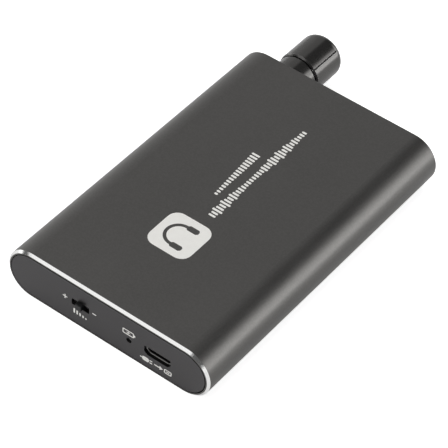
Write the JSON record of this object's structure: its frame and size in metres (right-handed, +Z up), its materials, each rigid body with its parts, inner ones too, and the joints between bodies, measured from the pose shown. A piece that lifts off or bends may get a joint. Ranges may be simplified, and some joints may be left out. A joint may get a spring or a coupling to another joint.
{
  "type": "headphone amplifier",
  "caption": "Pocket headphone amplifier: flat aluminium tube with end panels, turning volume knob, sliding gain tab, charging socket and plug sockets.",
  "frame": {"origin": "centre of the flat bottom face of the housing tube", "axes": "+X across the width, +Y along the length from the charging end to the knob end, +Z up"},
  "size_m": [0.057, 0.1067, 0.0137],
  "materials": {
    "housing_anodised": "fine bead-blasted black anodised, bright-cut edges",
    "panel_anodised": "satin black anodised",
    "adhesive_film": "matt",
    "board_laminate": "solder-masked",
    "plated_steel": "nickel plated",
    "usb_plating": "dark nickel plated",
    "black_insulator": "moulded",
    "gold_contacts": "gold flashed",
    "tinned_terminals": "tinned",
    "switch_plastic": "moulded",
    "lamp_body": "moulded",
    "light_pipe_clear": "clear",
    "knob_anodised": "glossy dark anodised, turned",
    "black_steel": "black oxide",
    "shaft_aluminium": "turned",
    "white_plastic": "moulded",
    "wafer_laminate": "phenolic with carbon tracks",
    "pot_case": "moulded",
    "bush_brass": "nickel plated",
    "nut_brass": "nickel plated",
    "cell_pouch": "laminated foil",
    "foam_pad": "foam",
    "nickel_tabs": "nickel",
    "lead_red": "silicone insulation",
    "lead_black": "silicone insulation",
    "ferrite": "ferrite",
    "resistor_body": "chip",
    "ceramic_tan": "chip",
    "socket_metal": "nickel plated",
    "chip_epoxy": "moulded epoxy",
    "can_aluminium": "drawn can"
  },
  "bodies": {
    "chassis": {"battery_board": "board_laminate", "battery_cell": "cell_pouch", "battery_header": "white_plastic", "battery_header_pins": "tinned_terminals", "battery_lead_black": "lead_black", "battery_lead_red": "lead_red", "battery_pad": "foam_pad", "battery_plug": "white_plastic", "battery_tabs": "nickel_tabs", "ceramic_capacitors": "ceramic_tan", "charge_lamp": "lamp_body", "charge_light_pipe": "light_pipe_clear", "charger_chip": "chip_epoxy", "charger_leads": "tinned_terminals", "electrolytic_bases": "black_insulator", "electrolytic_cans": "can_aluminium", "front_panel": "panel_anodised", "front_panel_film": "adhesive_film", "gain_switch_base": "black_insulator", "gain_switch_frame": "plated_steel", "gain_switch_terminals": "tinned_terminals", "housing_tube": "housing_anodised", "inductor": "ferrite", "input_jack_body": "black_insulator", "input_jack_contacts": "tinned_terminals", "input_jack_sleeve": "socket_metal", "main_board": "board_laminate", "op_amp_chip": "chip_epoxy", "op_amp_leads": "tinned_terminals", "phones_jack_body": "black_insulator", "phones_jack_contacts": "tinned_terminals", "phones_jack_sleeve": "socket_metal", "pot_bush": "bush_brass", "pot_housing": "pot_case", "pot_nut": "nut_brass", "pot_resistive_wafer": "wafer_laminate", "pot_terminals": "tinned_terminals", "pot_washer": "plated_steel", "power_lamp": "lamp_body", "power_light_pipe": "light_pipe_clear", "rear_panel": "panel_anodised", "rear_panel_film": "adhesive_film", "resistors": "resistor_body", "supply_converter_chip": "chip_epoxy", "supply_converter_leads": "tinned_terminals", "usb_contacts": "gold_contacts", "usb_shell": "usb_plating", "usb_tongue": "black_insulator"},
    "volume_knob": {"volume_knob": "knob_anodised", "knob_set_screw": "black_steel", "pot_shaft": "shaft_aluminium", "pot_wiper_carrier": "white_plastic", "pot_wiper_contacts": "gold_contacts"},
    "gain_tab": {"gain_switch_actuator": "switch_plastic", "gain_switch_bridge": "gold_contacts"}
  },
  "joints": [
    {"name": "volume_turn", "type": "hinge", "parent": "chassis", "child": "volume_knob", "pos_m": [-0.01595, 0.0446, 0.00685], "axis": [0, -1, 0], "range_deg": [-102, 198]},
    {"name": "gain_slide", "type": "slide", "parent": "chassis", "child": "gain_tab", "axis": [1, 0, 0], "range_m": [-0.001, 0.001]}
  ]
}
